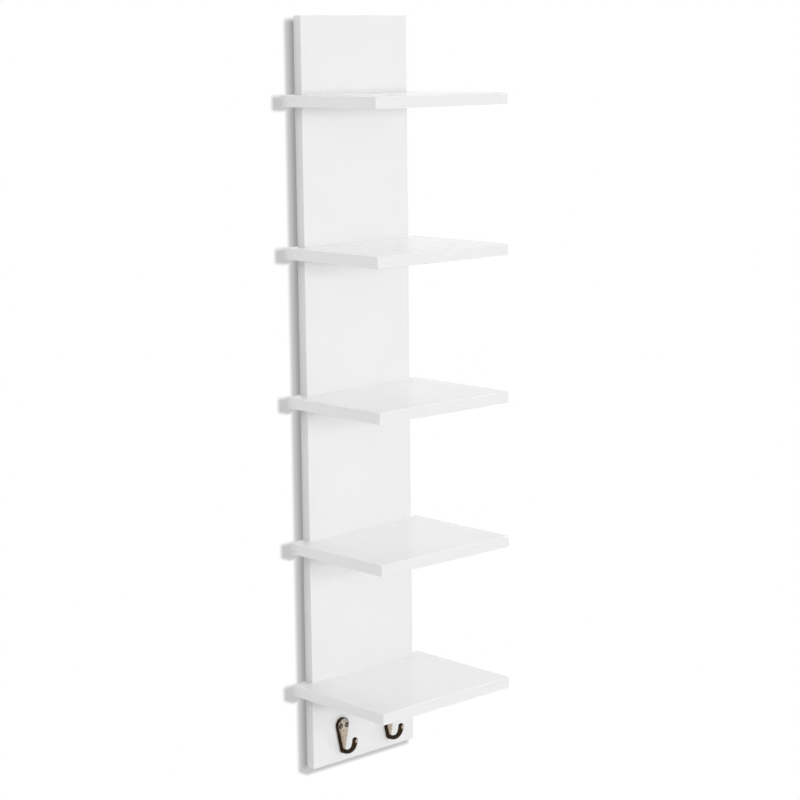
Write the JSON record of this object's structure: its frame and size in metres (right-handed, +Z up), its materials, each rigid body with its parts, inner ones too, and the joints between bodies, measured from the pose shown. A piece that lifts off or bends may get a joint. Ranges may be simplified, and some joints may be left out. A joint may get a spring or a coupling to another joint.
{
  "type": "hanging wall shelf",
  "caption": "Tall narrow wall panel with notched open shelves stepped up its front and cast coat hooks below, hung on keyhole plates let into its back.",
  "frame": {"origin": "middle of the back panel's back face, which lies on the wall", "axes": "+Z up, +Y into the wall, -Y towards the room, +X to the right for someone facing the shelf"},
  "size_m": [0.23, 0.18, 1],
  "materials": {
    "white_lacquer": "fibreboard with a smooth white satin lacquer",
    "zinc_steel": "bright zinc plating",
    "beech_dowel": "bare turned beech",
    "antique_bronze": "dark antique bronze patina, rubbed lighter on the plate's face",
    "bronzed_steel": "dark bronzed plating"
  },
  "bodies": {
    "root": {"back_panel": "white_lacquer", "shelf_1": "white_lacquer", "shelf_2": "white_lacquer", "shelf_3": "white_lacquer", "shelf_4": "white_lacquer", "shelf_5": "white_lacquer", "shelf_1_screw_left": "zinc_steel", "shelf_1_screw_right": "zinc_steel", "shelf_2_screw_left": "zinc_steel", "shelf_2_screw_right": "zinc_steel", "shelf_3_screw_left": "zinc_steel", "shelf_3_screw_right": "zinc_steel", "shelf_4_screw_left": "zinc_steel", "shelf_4_screw_right": "zinc_steel", "shelf_5_screw_left": "zinc_steel", "shelf_5_screw_right": "zinc_steel", "shelf_1_dowel_left": "beech_dowel", "shelf_1_dowel_right": "beech_dowel", "shelf_2_dowel_left": "beech_dowel", "shelf_2_dowel_right": "beech_dowel", "shelf_3_dowel_left": "beech_dowel", "shelf_3_dowel_right": "beech_dowel", "shelf_4_dowel_left": "beech_dowel", "shelf_4_dowel_right": "beech_dowel", "shelf_5_dowel_left": "beech_dowel", "shelf_5_dowel_right": "beech_dowel", "coat_hook_left": "antique_bronze", "coat_hook_right": "antique_bronze", "hook_left_screw_left": "bronzed_steel", "hook_left_screw_right": "bronzed_steel", "hook_right_screw_left": "bronzed_steel", "hook_right_screw_right": "bronzed_steel", "hanger_plate_left": "zinc_steel", "hanger_plate_right": "zinc_steel", "hanger_left_screw_top": "zinc_steel", "hanger_left_screw_bottom": "zinc_steel", "hanger_right_screw_top": "zinc_steel", "hanger_right_screw_bottom": "zinc_steel"}
  },
  "joints": []
}
